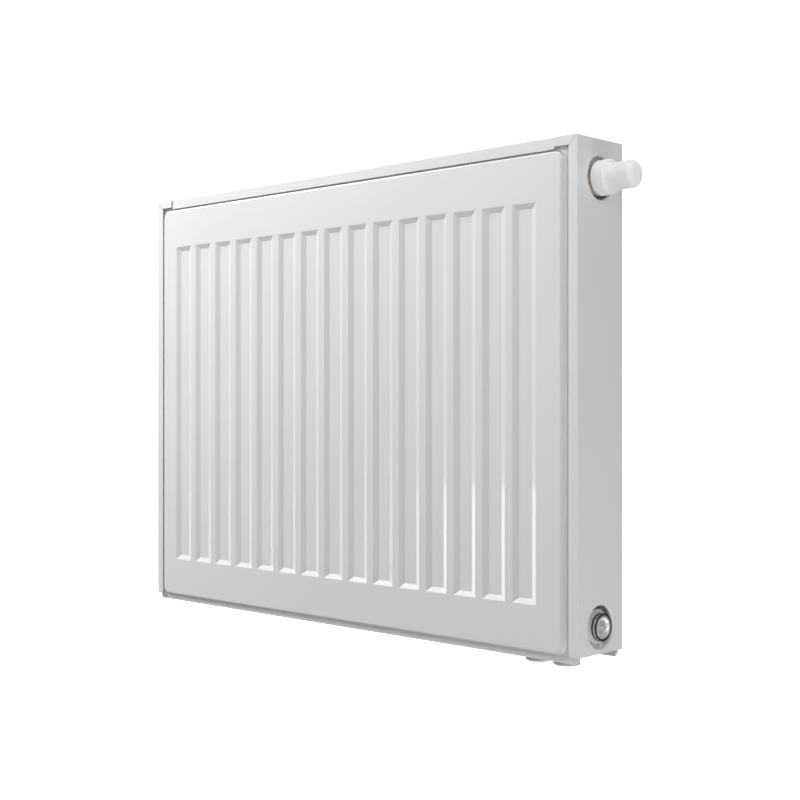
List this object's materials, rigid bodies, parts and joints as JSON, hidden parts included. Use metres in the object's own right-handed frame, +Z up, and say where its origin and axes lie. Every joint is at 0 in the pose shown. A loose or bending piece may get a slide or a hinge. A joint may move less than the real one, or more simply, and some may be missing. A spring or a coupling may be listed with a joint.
{
  "type": "steel panel radiator",
  "caption": "Steel panel radiator with fluted front, top grille, side covers, side valve with protective cap, side plug and bottom connections.",
  "frame": {"origin": "the hanging point: midway between the two upper lugs, on the plane of the lugs' wall-side faces, at the height of the ledges that rest on the wall brackets", "axes": "+X along the length towards the valve end, +Y towards the wall, +Z up"},
  "size_m": [0.7093, 0.0868, 0.5088],
  "materials": {
    "white_paint": "semi-gloss white stove enamel",
    "inner_paint": "thin satin white coat on the pieces between the panels",
    "white_plastic": "satin moulded white plastic",
    "chrome": "bright chrome plate",
    "brass": "machined brass",
    "steel": "plain steel",
    "black_rubber": "matt black rubber",
    "red_plastic": "red moulded plastic"
  },
  "bodies": {
    "radiator": {"air_vent_body": "chrome", "air_vent_o_ring": "black_rubber", "convector_fin": "inner_paint", "front_face_sheet": "white_paint", "front_inner_sheet": "white_paint", "hanging_lug_lower_left": "white_paint", "hanging_lug_lower_right": "white_paint", "hanging_lug_upper_left": "white_paint", "hanging_lug_upper_right": "white_paint", "plug_bottom_left_body": "chrome", "plug_bottom_left_inner_ring": "black_rubber", "plug_bottom_left_outer_ring": "black_rubber", "plug_bottom_right_body": "chrome", "plug_bottom_right_inner_ring": "black_rubber", "plug_bottom_right_outer_ring": "black_rubber", "rear_inner_sheet": "white_paint", "rear_wall_sheet": "white_paint", "return_nipple": "white_paint", "return_transport_plug": "white_plastic", "riser_pipe": "inner_paint", "side_clip_front_left": "white_plastic", "side_clip_front_right": "white_plastic", "side_clip_rear_left": "white_plastic", "side_clip_rear_right": "white_plastic", "side_panel_left": "white_paint", "side_panel_right": "white_paint", "spindle_gland": "brass", "supply_nipple": "white_paint", "supply_transport_plug": "white_plastic", "tee_bottom_left": "inner_paint", "tee_bottom_right": "inner_paint", "tee_top_left": "inner_paint", "top_grille": "white_paint", "valve_housing": "inner_paint", "valve_insert_body": "brass", "valve_insert_o_ring": "black_rubber", "valve_spring": "steel"},
    "spindle": {"valve_spindle": "steel", "valve_disc": "black_rubber"},
    "cap": {"protective_cap": "white_plastic"},
    "preset_dial": {"presetting_dial": "red_plastic"},
    "vent_screw": {"air_vent_screw": "brass"},
    "vent_nozzle": {"air_vent_nozzle": "white_plastic"}
  },
  "joints": [
    {"name": "spindle_travel", "type": "slide", "parent": "radiator", "child": "spindle", "axis": [-1, 0, 0], "range_m": [0, 0.0025], "deforming": ["valve_spring"]},
    {"name": "cap_turn", "type": "hinge", "parent": "spindle", "child": "cap", "pos_m": [0.3265, -0.0493, 0.014], "axis": [-1, 0, 0], "range_deg": [0, 600]},
    {"name": "preset_turn", "type": "hinge", "parent": "radiator", "child": "preset_dial", "pos_m": [0.3265, -0.0493, 0.014], "axis": [1, 0, 0], "range_deg": [0, 315]},
    {"name": "vent_screw_turn", "type": "hinge", "parent": "radiator", "child": "vent_screw", "pos_m": [-0.3265, -0.0493, 0.014], "axis": [-1, 0, 0], "range_deg": [0, 360]},
    {"name": "vent_nozzle_turn", "type": "hinge", "parent": "radiator", "child": "vent_nozzle", "pos_m": [-0.3265, -0.0493, 0.014], "axis": [-1, 0, 0], "continuous": true}
  ],
  "couplings": [
    {"joint": "cap_turn", "follows": "spindle_travel", "rad_per_m": 4188.8}
  ]
}
